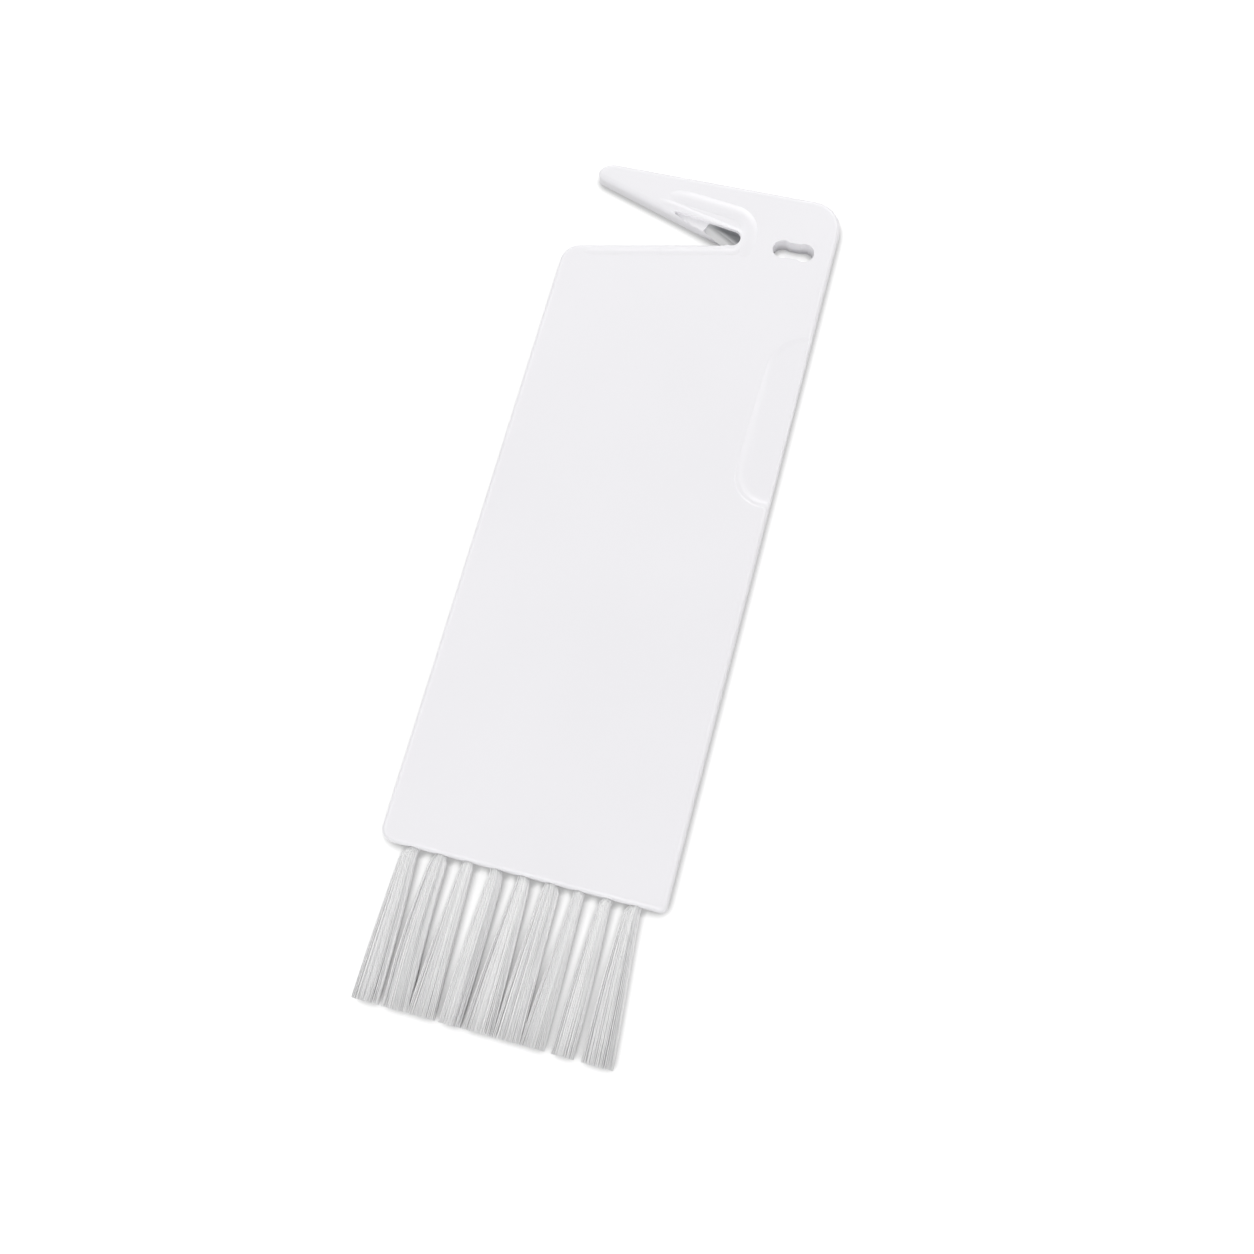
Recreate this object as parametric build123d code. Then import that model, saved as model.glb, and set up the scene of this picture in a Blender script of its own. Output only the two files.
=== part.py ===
from build123d import *
import math
import os

# Card: one flat moulding that carries everything, brush end towards -Y, beak end towards +Y
card_width = 45.3
card_length = 122.6
card_thickness = 3.0
front_rounding = 0.9
back_rounding = 0.8
brush_corner_radius = 2.1
brush_far_corner_radius = 1.0
top_corner_radius = 5.2

# Hair notch: a V open to the left, under a pointed beak
notch_depth = 27.8
notch_drop = 11.3
notch_apex_radius = 0.3
shoulder_drop = 17.2
shoulder_radius = 3.4
beak_inset = 0.9
beak_tip_height = 2.67
beak_tip_slant = 46.5
beak_tip_radius = 1.3
beak_brow_radius = 3.1

# Cutter: a flat blade moulded across the throat of the notch, ground from the front
throat_gap = 2.44
blade_slant = 28.6
blade_length = 9.0
blade_width = 5.5
blade_thickness = 0.45
blade_lead = 0.8
bevel_width = 1.55
key_hole_radius = 0.6
key_hole_along = 3.8
key_hole_across = 4.2

# Window in the front skin that bares the blade, a slot that narrows towards the beak. Its two ends are
# placed by a run along the upper jaw from the apex and an offset away from the notch
window_depth = 0.55
window_end_radius = 1.5
window_end_run = 0.35
window_end_offset = 1.1
window_tail_radius = 0.3
window_tail_run = 11.15
window_tail_offset = 0.6

# Low raised guards moulded round the throat, which sink into the face at both ends: an outer ridge, and a
# rim that follows both jaws. Each corner is a run along a jaw from the apex and an offset away from the notch
guard_width = 2.8
guard_height = 0.28
guard_fade = 4.0
guard_bend_radius = 3.8
guard_upper_corners = [(10.4, 4.0), (-0.85, 6.2), (-2.1, 2.35)]
rim_width = 1.25
rim_height = 0.13
rim_fade = 3.0
rim_bend_radius = 1.8
rim_upper_corners = [(12.55, 1.5), (-1.2, 2.7)]
rim_lower_corners = [(-1.65, 1.6)]
rim_from_shoulder = 5.9
bead_sink = 0.06

# Hanging slot: two round lobes joined by a slightly lower waist
hang_lobe_radius = 1.7
hang_lobe_spacing = 3.65
hang_waist_height = 2.95
hang_from_right = 6.75
hang_from_top = 10.4

# Thumb recess on the right edge, coved, and fading out towards the beak end
thumb_length = 33.0
thumb_width = 7.3
thumb_depth = 0.95
thumb_rise = 0.8
thumb_floor_radius = 2.4
thumb_low_radius = 6.0
thumb_high_radius = 8.0
thumb_from_bottom = 65.4
thumb_edge_rounding = 0.5

# Tufts: nylon bundles folded over flat anchors in a row of blind bores
tuft_count = 9
tuft_pitch = 4.38
tuft_row_offset = 0.5
tuft_bore = 2.0
tuft_bore_depth = 5.0
tuft_clearance = 0.02
bristle_length = 23.5
strand_side = 0.135
strand_root_depth = 0.4
strands_per_tuft = 45
fan_depth = 3.1
fan_lift = 0.25
fan_width_shares = [0.98, 0.92, 0.97, 0.80, 1.05, 0.94, 0.84, 0.80, 1.12]
fan_lean_shares = [-0.03, 0.02, -0.01, -0.02, -0.04, -0.02, -0.08, -0.07, 0.12]

# Anchors: flat pieces of wire that pin each folded tuft and bite the bore's sides
anchor_bite = 0.2
anchor_height = 1.4
anchor_thickness = 0.3
anchor_fold = 0.6
anchor_clearance = 0.01

# One overrun for every cut that has to pass a face
overrun = 1.0

# Edges of the card, with the whole brush centred on the origin and its back at z = 0
whole_length = card_length + bristle_length
left_edge = -card_width / 2
right_edge = card_width / 2
top_edge = whole_length / 2
brush_edge = top_edge - card_length
tip_edge = -whole_length / 2
mid_depth = card_thickness / 2

apex = Vector(left_edge + notch_depth, top_edge - notch_drop)
beak_tip = Vector(left_edge + beak_inset, top_edge - beak_tip_height)
shoulder = Vector(left_edge, top_edge - shoulder_drop)


def beside_jaw(jaw_end, run, offset):
    """A point at a run along a jaw from the apex, and at an offset away from the notch."""
    along = (jaw_end - apex).normalized()
    away = Vector(along.Y, -along.X) * math.copysign(1, along.Y)
    return apex + along * run + away * offset


def outline_face():
    """The card's outline, with the notch, every corner rounded."""
    brow_run = beak_tip_height / math.tan(math.radians(beak_tip_slant))
    corners = [
        (left_edge, brush_edge),
        (right_edge, brush_edge),
        (right_edge, top_edge),
        (beak_tip.X + brow_run, top_edge),
        beak_tip,
        apex,
        shoulder,
    ]
    radii = [
        brush_corner_radius,
        brush_far_corner_radius,
        top_corner_radius,
        beak_brow_radius,
        beak_tip_radius,
        notch_apex_radius,
        shoulder_radius,
    ]
    return make_face(FilletPolyline(*corners, radius=radii, close=True).edges())


def card_blank():
    """The card as a plate, with its front and back outer edges rounded."""
    plate = extrude(outline_face(), card_thickness)
    plate = fillet(plate.edges().group_by(Axis.Z)[-1], front_rounding)
    return fillet(plate.edges().group_by(Axis.Z)[0], back_rounding)


def raised_bead(corners, width, height, bend_radius, fade):
    """A low round-topped bead on the front face, along filleted corners, whose ends sink into the face."""
    level_path = FilletPolyline(*corners, radius=bend_radius)
    edges = level_path.edges()
    for end, outwards in ((level_path @ 0, -(level_path % 0)), (level_path @ 1, level_path % 1)):
        sunk_end = end + outwards * fade - Vector(0, 0, height + bead_sink)
        edges.append(TangentArc(end, sunk_end, tangent=outwards).edge())
    path = Wire(edges)
    arc_radius = width * width / (8 * height) + height / 2
    sunk = 2 * height
    half_chord = math.sqrt(2 * arc_radius * sunk - sunk * sunk)
    chord = Line((-half_chord, 0), (half_chord, 0))
    crown = RadiusArc((half_chord, 0), (-half_chord, 0), -arc_radius)
    section = make_face(Curve() + chord + crown)
    start = Plane(origin=path @ 0, x_dir=Vector(0, 0, 1).cross(path % 0), z_dir=path % 0)
    return Pos(0, 0, card_thickness - height) * sweep(start * section, path=path)


def guard_ridge():
    """The outer guard, a ridge that turns round the closed end of the window."""
    corners = [beside_jaw(beak_tip, run, offset) for run, offset in guard_upper_corners]
    return raised_bead(corners, guard_width, guard_height, guard_bend_radius, guard_fade)


def throat_rim():
    """The inner guard, a rim beside both jaws."""
    corners = [beside_jaw(beak_tip, run, offset) for run, offset in rim_upper_corners]
    corners += [beside_jaw(shoulder, run, offset) for run, offset in rim_lower_corners]
    end_run = (shoulder - apex).length - rim_from_shoulder
    corners.append(beside_jaw(shoulder, end_run, rim_lower_corners[-1][1]))
    return raised_bead(corners, rim_width, rim_height, rim_bend_radius, rim_fade)


def window_tool():
    """The tapered slot cut in the front skin over the blade, deepened to bare the blade's bevel."""
    end_centre = beside_jaw(beak_tip, window_end_run, window_end_offset)
    tail_centre = beside_jaw(beak_tip, window_tail_run, window_tail_offset)
    lobes = Pos(end_centre) * Circle(window_end_radius) + Pos(tail_centre) * Circle(window_tail_radius)
    outline = make_hull(lobes.edges())
    pocket = Pos(0, 0, card_thickness - window_depth) * extrude(outline, window_depth + overrun)
    over_bevel = make_face(Polyline((0, 0), (bevel_width, blade_thickness), (0, blade_thickness), close=True))
    air = blade_place() * Pos(-blade_lead, 0, 0) * extrude(Plane.YZ * over_bevel, blade_length)
    return pocket + (air & extrude(outline, card_thickness))


def blade_origin():
    """Where the cutting edge leaves the upper jaw, with the throat a stated gap there."""
    upper = (beak_tip - apex).normalized()
    lower = (shoulder - apex).normalized()
    closing = upper.Y / -upper.X - lower.Y / -lower.X
    back = throat_gap / closing
    return Vector(apex.X - back, apex.Y - back * upper.Y / upper.X)


def blade_place():
    """The blade's own frame: X along its edge, Y towards its back, Z towards the front."""
    back_z = card_thickness - window_depth - blade_thickness
    origin = blade_origin()
    return Pos(origin.X, origin.Y, back_z) * Rot(0, 0, -blade_slant)


def cutter_blade():
    """A flat blade with a single long bevel, its cutting edge on the back face."""
    section = Polyline(
        (0, 0),
        (bevel_width, blade_thickness),
        (blade_width, blade_thickness),
        (blade_width, 0),
        close=True,
    )
    bar = extrude(Plane.YZ * make_face(section), blade_length)
    hole = extrude(
        Pos(key_hole_along + blade_lead, key_hole_across) * Circle(key_hole_radius),
        blade_thickness + overrun,
    )
    blade = Pos(-blade_lead, 0, 0) * (bar - hole)
    return blade_place() * blade


def hang_slot_tool():
    """The hanging slot, cut right through."""
    centre = Vector(right_edge - hang_from_right, top_edge - hang_from_top)
    outline = Rectangle(hang_lobe_spacing, hang_waist_height)
    for side in (-1, 1):
        outline += Pos(side * hang_lobe_spacing / 2, 0) * Circle(hang_lobe_radius)
    outline = Pos(centre) * outline
    return Pos(0, 0, -overrun) * extrude(outline, card_thickness + 2 * overrun)


def thumb_tool():
    """The thumb recess: a D outline with a coved floor, tipped to fade towards the top."""
    low = brush_edge + thumb_from_bottom
    high = low + thumb_length
    inner = right_edge - thumb_width
    outer = inner + thumb_high_radius + 2 * overrun
    path = FilletPolyline(
        (outer, low), (inner, low), (inner, high), (outer, high),
        radius=[thumb_low_radius, thumb_high_radius],
    )
    outline = make_face(path.edges() + [Edge.make_line(path @ 1, path @ 0)])
    tool = extrude(outline, thumb_floor_radius + overrun)
    floor = tool.edges().group_by(Axis.Z)[0].filter_by(lambda edge: (edge @ 0.5).X < outer - overrun)
    tool = fillet(floor, thumb_floor_radius)
    tilt = math.degrees(math.atan2(thumb_rise, thumb_length))
    hinge = Pos(0, low, card_thickness - thumb_depth)
    return hinge * Rot(tilt, 0, 0) * Pos(0, -low, 0) * tool


def ease_thumb_edge(body):
    """The body with the edge rounded where the thumb recess runs out of its side."""
    middle = brush_edge + thumb_from_bottom + thumb_length / 2
    run_out = Vector(right_edge, middle, card_thickness - thumb_depth + thumb_rise / 2)
    return fillet(body.edges().sort_by_distance(run_out)[0], thumb_edge_rounding)


def tuft_centre(index):
    """Where a tuft leaves the card's brush edge."""
    steps = index - (tuft_count - 1) / 2
    return Vector(tuft_row_offset + steps * tuft_pitch, brush_edge, mid_depth)


def bore_cylinder(index, radius, start, end):
    """A cylinder along a bore, from one depth under the brush edge to another."""
    centre = tuft_centre(index)
    disc = Plane(origin=centre + Vector(0, start, 0), z_dir=(0, 1, 0)) * Circle(radius)
    return extrude(disc, end - start)


def anchor_block(index, grow):
    """The anchor's block, grown by a clearance on its broad faces and its mouth side."""
    centre = tuft_centre(index)
    deep_end = tuft_bore_depth - anchor_fold
    block = Box(
        tuft_bore + 2 * anchor_bite,
        anchor_height + grow,
        anchor_thickness + 2 * grow,
        align=(Align.CENTER, Align.MAX, Align.CENTER),
    )
    return Pos(centre + Vector(0, deep_end, 0)) * block


def tuft_anchor(index):
    """A flat anchor that spans the bore and bites into both of its sides."""
    return anchor_block(index, 0)


def tuft(index):
    """One bundle: its folded root in the bore, and the strands that fan out from it."""
    root_radius = tuft_bore / 2 - tuft_clearance
    root = bore_cylinder(index, root_radius, 0, tuft_bore_depth - tuft_clearance)
    root -= anchor_block(index, anchor_clearance)
    centre = tuft_centre(index)
    spread_radius = root_radius - strand_side
    half_fan = fan_width_shares[index] * tuft_pitch / 2 - strand_side
    lean = fan_lean_shares[index] * tuft_pitch
    golden_turn = math.pi * (3 - math.sqrt(5))
    strands = []
    for number in range(strands_per_tuft):
        reach = math.sqrt((number + 0.5) / strands_per_tuft)
        across = reach * math.cos(number * golden_turn)
        up = reach * math.sin(number * golden_turn)
        start = centre + Vector(across, 0, up) * spread_radius + Vector(0, strand_root_depth, 0)
        tip = Vector(centre.X + lean + across * half_fan, tip_edge, mid_depth + fan_lift + up * fan_depth / 2)
        square = Plane(origin=start, z_dir=(0, -1, 0)) * Rectangle(strand_side, strand_side)
        run = tip - start
        strands.append(extrude(square, run.length, dir=run))
    return root.fuse(*strands)


def card_body(blade):
    """The card with its guards, window, seats, slots and bores."""
    body = card_blank()
    body += guard_ridge()
    body += throat_rim()
    body -= window_tool()
    body -= blade
    body -= hang_slot_tool()
    body = ease_thumb_edge(body - thumb_tool())
    for index in range(tuft_count):
        body -= bore_cylinder(index, tuft_bore / 2, -overrun, tuft_bore_depth)
        body -= anchor_block(index, 0)
    return body


def main():
    os.makedirs("parts", exist_ok=True)
    blade = cutter_blade()
    pieces = {"cutter_blade": blade, "card_body": card_body(blade)}
    for index in range(tuft_count):
        pieces[f"tuft_{index + 1}"] = tuft(index)
        pieces[f"anchor_{index + 1}"] = tuft_anchor(index)
    for name, piece in pieces.items():
        export_step(piece, f"parts/{name}.step")
        print(name, round(piece.volume, 2), [round(size, 2) for size in piece.bounding_box().size])


main()
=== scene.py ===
import math
import random

import bpy
from mathutils import Matrix, Vector


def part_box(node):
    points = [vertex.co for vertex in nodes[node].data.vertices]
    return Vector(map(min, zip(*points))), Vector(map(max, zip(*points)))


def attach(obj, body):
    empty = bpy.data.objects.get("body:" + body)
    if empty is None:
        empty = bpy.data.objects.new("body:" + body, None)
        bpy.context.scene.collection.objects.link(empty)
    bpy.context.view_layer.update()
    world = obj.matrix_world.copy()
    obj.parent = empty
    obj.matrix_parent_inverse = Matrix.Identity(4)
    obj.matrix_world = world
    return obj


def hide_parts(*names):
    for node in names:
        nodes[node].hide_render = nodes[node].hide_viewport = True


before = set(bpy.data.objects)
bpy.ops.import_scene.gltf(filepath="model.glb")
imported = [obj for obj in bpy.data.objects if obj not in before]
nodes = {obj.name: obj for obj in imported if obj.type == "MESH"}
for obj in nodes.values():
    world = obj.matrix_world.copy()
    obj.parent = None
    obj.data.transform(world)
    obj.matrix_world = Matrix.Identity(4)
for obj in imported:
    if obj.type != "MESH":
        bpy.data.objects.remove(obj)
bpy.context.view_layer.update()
tuftNames = sorted(name for name in nodes if name.startswith("tuft_"))
mm = 0.001
print("frame loaded:", len(nodes), "nodes,", len(tuftNames), "tufts")


# Small helpers for colours and shader nodes
def hexToLinear(hexColour):
    channels = [int(hexColour[i:i + 2], 16) / 255 for i in (0, 2, 4)]
    linear = [c / 12.92 if c <= 0.04045 else ((c + 0.055) / 1.055) ** 2.4 for c in channels]
    return (*linear, 1.0)


def addNode(tree, kind, settings=None, links=None):
    node = tree.nodes.new(kind)
    for name, value in (settings or {}).items():
        if isinstance(name, int) or name in node.inputs:
            node.inputs[name].default_value = value
        else:
            setattr(node, name, value)
    for name, source in (links or {}).items():
        tree.links.new(source, node.inputs[name])
    return node


def newMaterial(name):
    material = bpy.data.materials.new(name)
    material.use_nodes = True
    material.node_tree.nodes.clear()
    return material, material.node_tree


def dress(node, material):
    node.data.materials.clear()
    node.data.materials.append(material)


# Camera: the card lies on its back, seen from its brush end and a little to its right
cameraSettings = {
    "place": (38.27, -66.63, 215.44),        # mm, in the frame of the part
    "aim": (5.69, -8.19, 3.0),               # mm, a point on the card's front face
    "turn": 15.0,                            # degrees that the card leans to the right in the picture
    "focalLength": 40.745,                   # mm, on a sensor 36 mm wide
    "sensorWidth": 36.0,
    "nearest": 0.005,                        # m, closer than this nothing is drawn
}


def makeCamera(settings):
    data = bpy.data.cameras.new("camera")
    data.lens = settings["focalLength"]
    data.sensor_width = settings["sensorWidth"]
    data.clip_start = settings["nearest"]
    place = Vector(settings["place"]) * mm
    back = (place - Vector(settings["aim"]) * mm).normalized()
    lean = math.radians(settings["turn"])
    upHint = Vector((-math.sin(lean), math.cos(lean), 0))
    right = upHint.cross(back).normalized()
    up = back.cross(right)
    camera = bpy.data.objects.new("camera", data)
    camera.matrix_world = Matrix.Translation(place) @ Matrix((right, up, back)).transposed().to_4x4()
    bpy.context.scene.collection.objects.link(camera)
    bpy.context.scene.camera = camera


makeCamera(cameraSettings)
print("camera placed")


# Light: a white tent lit by a ring of soft light a third of the way up, so that rounded edges catch a pale
# line and upright walls stay grey, and two weak soft boxes: the one at the beak's end models the low guards,
# the other one the rounding of the brush end
lightSettings = {
    "band": [                                # sine of the height over the horizon, share of the level
        (0.0, 0.55), (0.16, 0.42), (0.22, 0.17), (0.3, 0.15), (0.4, 0.45),
        (0.5, 1.0), (0.6, 0.9), (0.7, 0.6), (0.8, 0.25), (0.9, 0.03), (1.0, 0.0),
    ],
    "bandLevel": 2.42,
    "softBoxes": {                           # direction from the object, and power in W
        "beakEnd": ((0.05, 0.86, 0.5), 10.0),
        "brushEnd": ((0.0, -0.82, 0.57), 9.0),
    },
    "boxDistance": 3.0,                      # m
    "boxSize": 1.25,                         # m across
}


def makeTent(settings):
    world = bpy.data.worlds.new("lightTent")
    bpy.context.scene.world = world
    world.use_nodes = True
    tree = world.node_tree
    tree.nodes.clear()
    where = addNode(tree, "ShaderNodeTexCoord")
    split = addNode(tree, "ShaderNodeSeparateXYZ", links={"Vector": where.outputs["Generated"]})
    band = addNode(tree, "ShaderNodeValToRGB", links={"Fac": split.outputs["Z"]})
    stops = band.color_ramp.elements
    while len(stops) < len(settings["band"]):
        stops.new(0.5)                       # anywhere: each one gets its place below
    for stop, (height, level) in zip(stops, settings["band"]):
        stop.position = height
        stop.color = (level, level, level, 1.0)
    tent = addNode(
        tree, "ShaderNodeBackground", {"Strength": settings["bandLevel"]}, {"Color": band.outputs["Color"]}
    )
    addNode(tree, "ShaderNodeOutputWorld", links={"Surface": tent.outputs[0]})


def makeSoftBoxes(settings):
    for name, (towards, power) in settings["softBoxes"].items():
        data = bpy.data.lights.new(name, "AREA")
        data.shape = "DISK"
        data.size = settings["boxSize"]
        data.energy = power
        lamp = bpy.data.objects.new(name, data)
        direction = Vector(towards).normalized()
        lamp.location = direction * settings["boxDistance"]
        lamp.rotation_euler = direction.to_track_quat("Z", "Y").to_euler()
        bpy.context.scene.collection.objects.link(lamp)


# Floor: white acrylic with a glow of its own, so the eye sees it pure white; at the object's foot an
# occlusion test lowers the glow, a narrow painted contact shadow over the real shadow kept in its seen colour
floorSettings = {
    "halfSize": 1.5,                         # m
    "drop": 0.02,                            # mm below the object
    "bounce": "7E7E7E",                      # what it gives back to the object: a grey cloth under the tent
    "seen": "959595",                        # its own colour to the eye, with the glow on top
    "glow": 0.86,                            # strength of the light from within, where nothing stands near
    "paintedShadowGlow": 0.34,                        # and in the painted shadow at the object's foot
    "footReach": 1.45,                       # mm within which the occlusion test paints the shadow
    "openShares": (0.5, 0.95),               # share of open sky at which the glow starts and is full
    "footRays": 16,                          # that look for the object
}


def makeFloor(settings):
    size = settings["halfSize"]
    z = -settings["drop"] * mm
    mesh = bpy.data.meshes.new("floor")
    corners = [(-size, -size, z), (size, -size, z), (size, size, z), (-size, size, z)]
    mesh.from_pydata(corners, [], [(0, 1, 2, 3)])
    material, tree = newMaterial("litWhiteAcrylic")
    bounce = addNode(tree, "ShaderNodeBsdfDiffuse", {"Color": hexToLinear(settings["bounce"])})
    seen = addNode(tree, "ShaderNodeBsdfDiffuse", {"Color": hexToLinear(settings["seen"])})
    # painted shadow: the glow drops where this occlusion test finds the object near
    openSky = addNode(
        tree, "ShaderNodeAmbientOcclusion",
        {"samples": settings["footRays"], "Distance": settings["footReach"] * mm},
    )
    glow = addNode(
        tree, "ShaderNodeMapRange",
        {
            "From Min": settings["openShares"][0],
            "From Max": settings["openShares"][1],
            "To Min": settings["paintedShadowGlow"],
            "To Max": settings["glow"],
        },
        {"Value": openSky.outputs["AO"]},
    )
    within = addNode(
        tree, "ShaderNodeEmission", {"Color": hexToLinear("FFFFFF")}, {"Strength": glow.outputs["Result"]}
    )
    lit = addNode(tree, "ShaderNodeAddShader", links={0: seen.outputs[0], 1: within.outputs[0]})
    rays = addNode(tree, "ShaderNodeLightPath")
    gloss = addNode(
        tree, "ShaderNodeMath", {"operation": "MAXIMUM"},
        {0: rays.outputs["Is Glossy Ray"], 1: rays.outputs["Is Transmission Ray"]},
    )
    isSeen = addNode(
        tree, "ShaderNodeMath", {"operation": "MAXIMUM"},
        {0: rays.outputs["Is Camera Ray"], 1: gloss.outputs["Value"]},
    )
    mix = addNode(
        tree, "ShaderNodeMixShader",
        links={0: isSeen.outputs["Value"], 1: bounce.outputs[0], 2: lit.outputs[0]},
    )
    addNode(tree, "ShaderNodeOutputMaterial", links={"Surface": mix.outputs[0]})
    mesh.materials.append(material)
    floor = bpy.data.objects.new("floor", mesh)
    bpy.context.scene.collection.objects.link(floor)


makeTent(lightSettings)
makeSoftBoxes(lightSettings)
makeFloor(floorSettings)
bpy.context.scene.view_settings.view_transform = "Standard"
print("room lit")


# Card: white ABS, injection moulded in a satin tool, so its gloss is broad and soft
cardSettings = {
    "white": "ECEBEE",
    "shade": "E8E7EA",                       # where the flow leaves the white a little deeper
    "ior": 1.53,
    "roughness": 0.3,
    "roughnessSpread": 0.04,
    "grainSize": 0.35,                       # mm, satin grain of the tool, drawn coarse enough to show
    "grainHeight": 0.004,                    # mm
    "grainDetail": 3.0,
    "grainRoughness": 0.6,
    "flowSize": 26.0,                        # mm, slow waves where the plastic flowed and shrank
    "flowHeight": 0.02,                      # mm
    "flowDetail": 2.0,
    "flowRoughness": 0.45,
}


def mouldedSatinAbs(settings):
    material, tree = newMaterial("mouldedSatinAbs")
    where = addNode(tree, "ShaderNodeTexCoord")
    flow, grain = (
        addNode(
            tree, "ShaderNodeTexNoise",
            {
                "Scale": 1 / (settings[pattern + "Size"] * mm),
                "Detail": settings[pattern + "Detail"],
                "Roughness": settings[pattern + "Roughness"],
            },
            {"Vector": where.outputs["Object"]},
        )
        for pattern in ("flow", "grain")
    )
    colour = addNode(
        tree, "ShaderNodeMix",
        {"data_type": "RGBA", 6: hexToLinear(settings["white"]), 7: hexToLinear(settings["shade"])},
        {0: flow.outputs["Fac"]},
    )
    sheen = addNode(
        tree, "ShaderNodeMapRange",
        {
            "To Min": settings["roughness"] - settings["roughnessSpread"],
            "To Max": settings["roughness"] + settings["roughnessSpread"],
        },
        {"Value": grain.outputs["Fac"]},
    )
    slowBump = addNode(
        tree, "ShaderNodeBump", {"Distance": settings["flowHeight"] * mm},
        {"Height": flow.outputs["Fac"]},
    )
    fineBump = addNode(
        tree, "ShaderNodeBump", {"Distance": settings["grainHeight"] * mm},
        {"Height": grain.outputs["Fac"], "Normal": slowBump.outputs["Normal"]},
    )
    shader = addNode(
        tree, "ShaderNodeBsdfPrincipled", {"IOR": settings["ior"], "Metallic": 0.0},
        {
            "Base Color": colour.outputs[2],
            "Roughness": sheen.outputs["Result"],
            "Normal": fineBump.outputs["Normal"],
        },
    )
    addNode(tree, "ShaderNodeOutputMaterial", links={"Surface": shader.outputs[0]})
    return material


dress(nodes["card_body"], mouldedSatinAbs(cardSettings))
print("card dressed")


# Blade: hardened strip steel, pale where its bevel was ground and dark on its back where it kept the mill's
# surface; the back is painted darker than such steel and fades slowly into the bevel, as painted shade from
# the window's north wall
bladeSettings = {
    # tone of the blade's back: the steel's own darker tone, painted darker still to stand for the shade under
    # the window's north wall
    "rolledWithPaintedShade": "949598",
    "ground": "F4F4F5",
    "bevel": 0.9,                            # mm from the cutting edge
    "grindAndShadeFade": 1.3,                            # mm over which the grind fades into the dark back, drawn wide as painted shade
    "slant": -28.6,                          # degrees from +X to the cutting edge
    "grindSpacing": 0.12,                    # mm between grinding lines, drawn coarse enough to show
    "grindDepth": 0.004,                     # mm
    "grindStrength": 0.4,
    "grindDetail": 2.0,
    "rolledRoughness": 0.34,
    "groundRoughness": 0.5,
}


def groundStripSteelPaintedShade(settings):
    material, tree = newMaterial("groundStripSteelPaintedShade")
    slant = math.radians(settings["slant"])
    along = Vector((math.cos(slant), math.sin(slant), 0))
    across = Vector((-along.y, along.x, 0))
    corners = [v.co.dot(across) for v in nodes["cutter_blade"].data.vertices]
    edge = min(corners)                      # the cutting edge is the blade's lowest side across the slant
    where = addNode(tree, "ShaderNodeTexCoord")
    reach = addNode(
        tree, "ShaderNodeVectorMath", {"operation": "DOT_PRODUCT", 1: across},
        {0: where.outputs["Object"]},
    )
    run = addNode(
        tree, "ShaderNodeVectorMath", {"operation": "DOT_PRODUCT", 1: along},
        {0: where.outputs["Object"]},
    )
    # painted shade: 0 on the ground bevel, 1 on the dark back, with a slow fade between
    start = edge + settings["bevel"] * mm
    rolledWithPaintedShade = addNode(
        tree, "ShaderNodeMapRange",
        {"From Min": start, "From Max": start + settings["grindAndShadeFade"] * mm},
        {"Value": reach.outputs["Value"]},
    )
    lineCoordinate = addNode(tree, "ShaderNodeCombineXYZ", links={"X": run.outputs["Value"]})
    lines = addNode(
        tree, "ShaderNodeTexNoise",
        {"Scale": 1 / (settings["grindSpacing"] * mm), "Detail": settings["grindDetail"]},
        {"Vector": lineCoordinate.outputs["Vector"]},
    )
    colour = addNode(
        tree, "ShaderNodeMix",
        {"data_type": "RGBA", 6: hexToLinear(settings["ground"]), 7: hexToLinear(settings["rolledWithPaintedShade"])},
        {0: rolledWithPaintedShade.outputs["Result"]},
    )
    roughness = addNode(
        tree, "ShaderNodeMapRange",
        {"To Min": settings["groundRoughness"], "To Max": settings["rolledRoughness"]},
        {"Value": rolledWithPaintedShade.outputs["Result"]},
    )
    bump = addNode(
        tree, "ShaderNodeBump",
        {"Strength": settings["grindStrength"], "Distance": settings["grindDepth"] * mm},
        {"Height": lines.outputs["Fac"]},
    )
    shader = addNode(
        tree, "ShaderNodeBsdfPrincipled", {"Metallic": 1.0},
        {
            "Base Color": colour.outputs[2],
            "Roughness": roughness.outputs["Result"],
            "Normal": bump.outputs["Normal"],
        },
    )
    addNode(tree, "ShaderNodeOutputMaterial", links={"Surface": shader.outputs[0]})
    return material


dress(nodes["cutter_blade"], groundStripSteelPaintedShade(bladeSettings))
print("blade dressed")


# Anchors: flat drawn wire, nickel silver, with fine lines along the drawing direction
anchorSettings = {
    "metal": "B9B19A",
    "roughness": 0.32,
    "lineSpacing": 0.05,                     # mm between drawing lines
    "lineShare": 0.05,                       # of a change across the lines that shows along them
    "lineDepth": 0.003,                      # mm
    "lineStrength": 0.5,
    "lineDetail": 2.0,
}


def drawnAnchorWire(settings):
    material, tree = newMaterial("drawnAnchorWire")
    where = addNode(tree, "ShaderNodeTexCoord")
    stretch = addNode(
        tree, "ShaderNodeMapping", {"Scale": (settings["lineShare"], 1.0, 1.0)},
        {"Vector": where.outputs["Object"]},
    )
    lines = addNode(
        tree, "ShaderNodeTexNoise",
        {"Scale": 1 / (settings["lineSpacing"] * mm), "Detail": settings["lineDetail"]},
        {"Vector": stretch.outputs["Vector"]},
    )
    bump = addNode(
        tree, "ShaderNodeBump",
        {"Strength": settings["lineStrength"], "Distance": settings["lineDepth"] * mm},
        {"Height": lines.outputs["Fac"]},
    )
    shader = addNode(
        tree, "ShaderNodeBsdfPrincipled",
        {"Base Color": hexToLinear(settings["metal"]), "Metallic": 1.0, "Roughness": settings["roughness"]},
        {"Normal": bump.outputs["Normal"]},
    )
    addNode(tree, "ShaderNodeOutputMaterial", links={"Surface": shader.outputs[0]})
    return material


anchorWire = drawnAnchorWire(anchorSettings)
for name in nodes:
    if name.startswith("anchor_"):
        dress(nodes[name], anchorWire)
print("anchors dressed")


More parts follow.
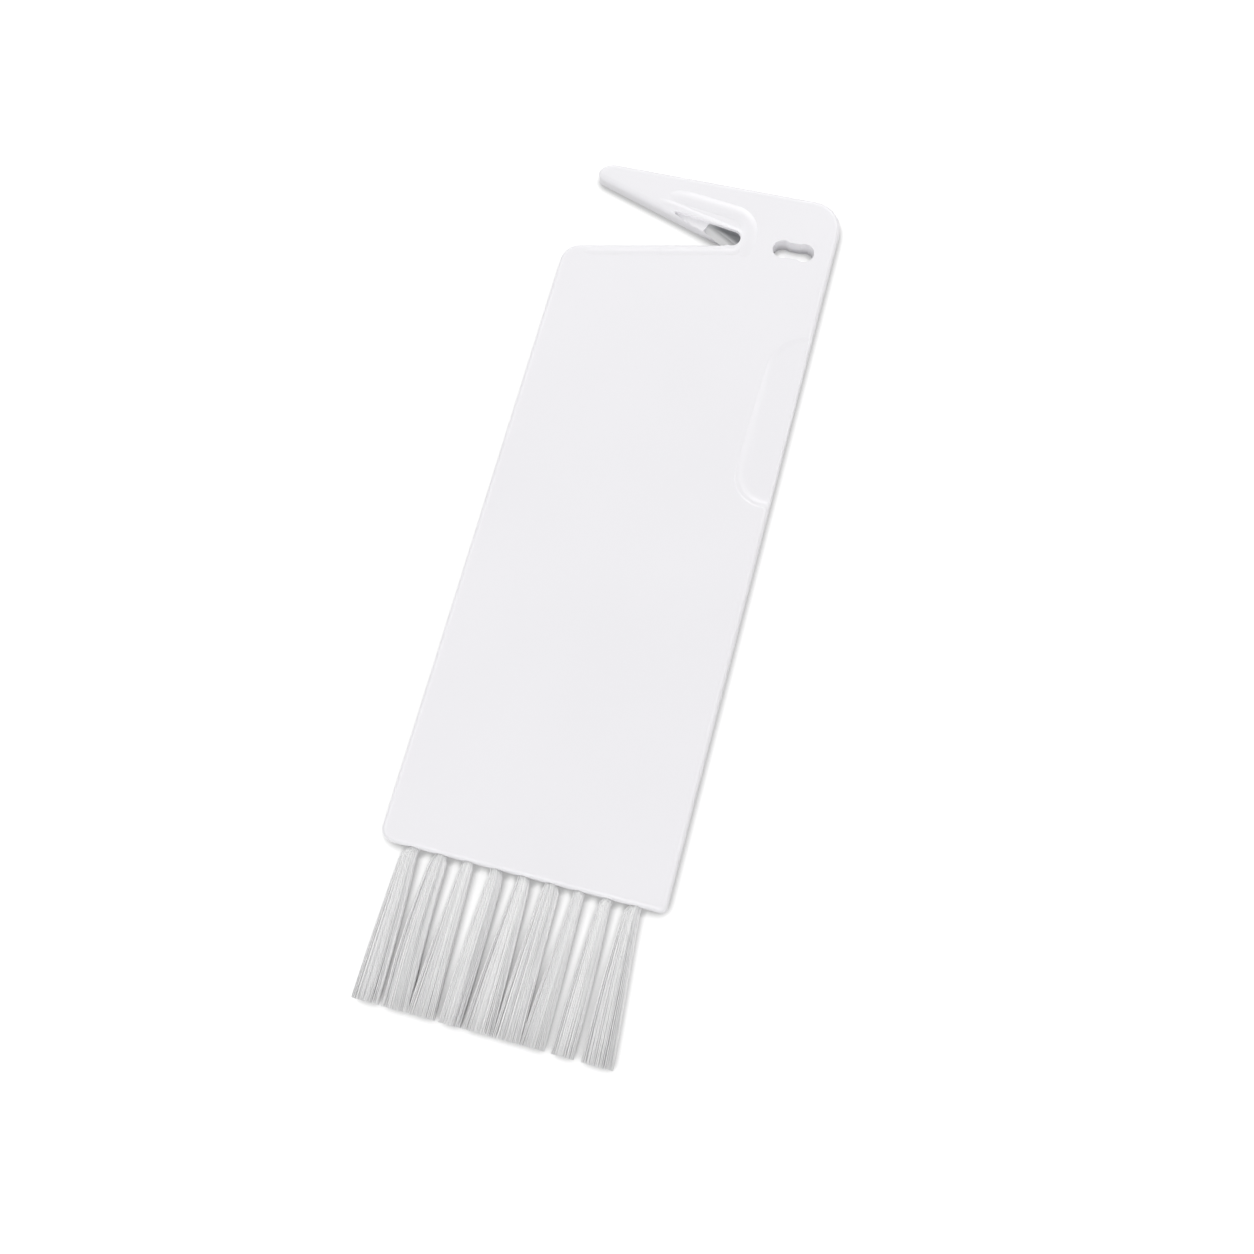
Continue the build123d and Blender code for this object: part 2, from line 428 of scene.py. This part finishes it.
# Tufts: filaments packed in the bore and fanned out to a flat trim. Each tuft has fanned in its own way, so
# each has its own spans
tuftSettings = {
    # left and right side in mm from the card's left edge: where the tuft leaves the card, a little past its
    # middle, and at the trim
    "tuft_1": {"mouth": (3.85, 6.3), "middle": (3.35, 7.1), "trim": (3.2, 7.4)},
    "tuft_2": {"mouth": (8.6, 11.3), "middle": (7.7, 11.5), "trim": (7.85, 12.25)},
    "tuft_3": {"mouth": (13.4, 15.3), "middle": (12.45, 15.7), "trim": (11.85, 16.2)},
    "tuft_4": {"mouth": (18.0, 20.2), "middle": (17.1, 20.35), "trim": (16.75, 20.25)},
    "tuft_5": {"mouth": (22.35, 24.4), "middle": (21.15, 24.95), "trim": (20.5, 25.3)},
    "tuft_6": {"mouth": (26.3, 29.1), "middle": (25.5, 29.25), "trim": (25.0, 29.6)},
    "tuft_7": {"mouth": (31.2, 32.8), "middle": (30.1, 33.0), "trim": (29.25, 33.1)},
    "tuft_8": {"mouth": (35.2, 37.0), "middle": (34.35, 37.5), "trim": (34.1, 37.55)},
    "tuft_9": {"mouth": (39.1, 41.5), "middle": (38.55, 42.6), "trim": (38.6, 43.5)},
    "middleShare": 0.53,                     # of the free length, at which the middle spans lie
    "easeShare": 0.07,                       # of the free length, over which a tuft swells out of its bore
    "strands": 300,
    "rootRadius": 0.05,                      # mm, filaments pressed together in the bore
    "strandRadius": 0.085,                   # mm, drawn coarser than true filament
    "sides": 5,
    "ringShares": (0.0, 0.02, 0.045, 0.1, 0.25, 0.45, 0.7, 1.0),   # of the free length, after one in the bore
    "rootDepth": 1.2,                        # mm that the filaments reach into the bore
    "boreRadius": 1.0,                       # mm
    "rootFill": 0.97,                        # share of the bore's radius that they fill
    "tipDepth": 2.5,                         # mm, front to back at the trim
    "tipMiddle": 1.6,                        # mm above the surface
    "trimSpread": 0.08,                      # mm by which the cut ends differ
    "tipSpread": 0.05,                       # mm of scatter at the tips
    "wave": 0.04,                            # mm of slow bending along a filament
    "floorGap": 0.05,                        # mm kept between the lowest filament and the surface
    "squareness": 4.0,                       # how far the fan fills the corners of its span
    "seed": 41,
}

# Nylon: drawn filament, milky white, so a bundle looks soft and pale with faint streaks from strand to strand
nylonSettings = {
    "pale": "F0F0F0",
    "dark": "DCDCDD",
    "ior": 1.53,
    "roughness": 0.4,
    "streak": 1.6,                           # mm, length of the slow changes of tone along a filament
    "streakShare": 0.2,                      # by which they shift a filament between pale and dark
    "streakDetail": 2.0,
}


def drawnNylon(settings):
    material, tree = newMaterial("drawnNylon")
    tone = addNode(tree, "ShaderNodeAttribute", {"attribute_name": "strandTone"})
    where = addNode(tree, "ShaderNodeTexCoord")
    slow = addNode(
        tree, "ShaderNodeTexNoise",
        {"Scale": 1 / (settings["streak"] * mm), "Detail": settings["streakDetail"]},
        {"Vector": where.outputs["Object"]},
    )
    shift = addNode(
        tree, "ShaderNodeMapRange",
        {"To Min": -settings["streakShare"], "To Max": settings["streakShare"]},
        {"Value": slow.outputs["Fac"]},
    )
    total = addNode(
        tree, "ShaderNodeMath", {"operation": "ADD", "use_clamp": True},
        {0: tone.outputs["Fac"], 1: shift.outputs["Result"]},
    )
    colour = addNode(
        tree, "ShaderNodeMix",
        {"data_type": "RGBA", 6: hexToLinear(settings["pale"]), 7: hexToLinear(settings["dark"])},
        {0: total.outputs["Value"]},
    )
    shader = addNode(
        tree, "ShaderNodeBsdfPrincipled",
        {"IOR": settings["ior"], "Roughness": settings["roughness"], "Metallic": 0.0},
        {"Base Color": colour.outputs[2]},
    )
    addNode(tree, "ShaderNodeOutputMaterial", links={"Surface": shader.outputs[0]})
    return material


def squareOff(across, up, power):
    # moves a point of a round bundle out towards the corners of its span
    reach = (abs(across) ** power + abs(up) ** power) ** (1 / power)
    radius = math.hypot(across, up)
    grow = radius / reach if reach > 0 else 1.0
    return across * grow, up * grow


def sideAt(spans, side, share, middleShare):
    # a smooth curve through the mouth, the middle and the trim
    mouth, middle, trim = (spans[station][side] for station in ("mouth", "middle", "trim"))
    bend = (middle - mouth - (trim - mouth) * middleShare) / (middleShare * (1 - middleShare))
    return mouth + (trim - mouth) * share + bend * share * (1 - share)


def makeTuft(name, settings, material):
    rng = random.Random(settings["seed"] + tuftNames.index(name))
    anchorLow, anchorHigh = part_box(name.replace("tuft", "anchor"))
    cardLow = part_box("card_body")[0]
    bore = (anchorLow + anchorHigh) / 2
    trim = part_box(name)[0].y
    scatter = settings["tipSpread"] * mm
    lowest = (settings["floorGap"] + settings["strandRadius"]) * mm
    rings = []                               # share, middle, half sizes, squareness, filament's radius
    for share in settings["ringShares"]:
        ease = min(share / settings["easeShare"], 1)
        ease = 1 - (1 - ease) ** 2
        radius = (settings["rootRadius"] * (1 - ease) + settings["strandRadius"] * ease) * mm
        left, right = (
            cardLow.x + sideAt(settings[name], side, share, settings["middleShare"]) * mm for side in (0, 1)
        )
        boreReach = settings["boreRadius"] * settings["rootFill"] * mm - radius
        middle = Vector((
            bore.x * (1 - ease) + (left + right) / 2 * ease,
            cardLow.y * (1 - share) + trim * share,
            bore.z * (1 - share) + settings["tipMiddle"] * mm * share,
        ))
        halfWidth = boreReach * (1 - ease) + ((right - left) / 2 - radius) * ease
        halfDepth = boreReach * (1 - share) + (settings["tipDepth"] * mm / 2 - radius - scatter) * share
        rings.append((share, middle, halfWidth, halfDepth, ease, radius))
    inBore = Vector((bore.x, cardLow.y + settings["rootDepth"] * mm, bore.z))
    rings.insert(0, (0.0, inBore, rings[0][2], rings[0][3], 0.0, rings[0][5]))
    golden = math.pi * (3 - math.sqrt(5))
    sides = settings["sides"]
    vertices, faces, tones = [], [], []
    for k in range(settings["strands"]):
        reach = math.sqrt((k + 0.5) / settings["strands"])
        across, up = reach * math.cos(k * golden), reach * math.sin(k * golden)
        fanAcross, fanUp = squareOff(across, up, settings["squareness"])
        shiftX, shiftZ = rng.uniform(-scatter, scatter), rng.uniform(-scatter, scatter)
        cut = rng.uniform(0, settings["trimSpread"]) * mm
        phase, tone = rng.uniform(0, math.tau), rng.random()
        wave = settings["wave"] * mm * rng.random()
        first = len(vertices)
        for share, middle, halfWidth, halfDepth, square, radius in rings:
            swing = math.sin(phase + share * math.tau) * wave * share
            centre = middle + Vector((
                (across * (1 - square) + fanAcross * square) * halfWidth + shiftX * share + swing,
                cut * share,
                (up * (1 - share) + fanUp * share) * halfDepth + shiftZ * share + math.cos(phase) * swing,
            ))
            centre.z = max(centre.z, lowest)
            for side in range(sides):
                turn = math.tau * side / sides
                vertices.append(centre + Vector((math.cos(turn), 0, math.sin(turn))) * radius)
        for ring in range(len(rings) - 1):
            for side in range(sides):
                a = first + ring * sides + side
                b = first + ring * sides + (side + 1) % sides
                faces.append((a, b, b + sides, a + sides))
        faces.append(tuple(first + side for side in reversed(range(sides))))
        faces.append(tuple(first + (len(rings) - 1) * sides + side for side in range(sides)))
        tones += [tone] * (len(rings) * sides)
    mesh = bpy.data.meshes.new(name + "_filaments")
    mesh.from_pydata(vertices, [], faces)
    mesh.validate()
    mesh.attributes.new("strandTone", "FLOAT", "POINT").data.foreach_set("value", tones)
    mesh.polygons.foreach_set("use_smooth", [len(face) == 4 for face in faces])
    mesh.materials.append(material)
    tuft = bpy.data.objects.new(name + "_filaments", mesh)
    bpy.context.scene.collection.objects.link(tuft)
    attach(tuft, "root")
    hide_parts(name)


nylon = drawnNylon(nylonSettings)
for name in tuftNames:
    makeTuft(name, tuftSettings, nylon)
print("tufts made:", len(tuftNames))
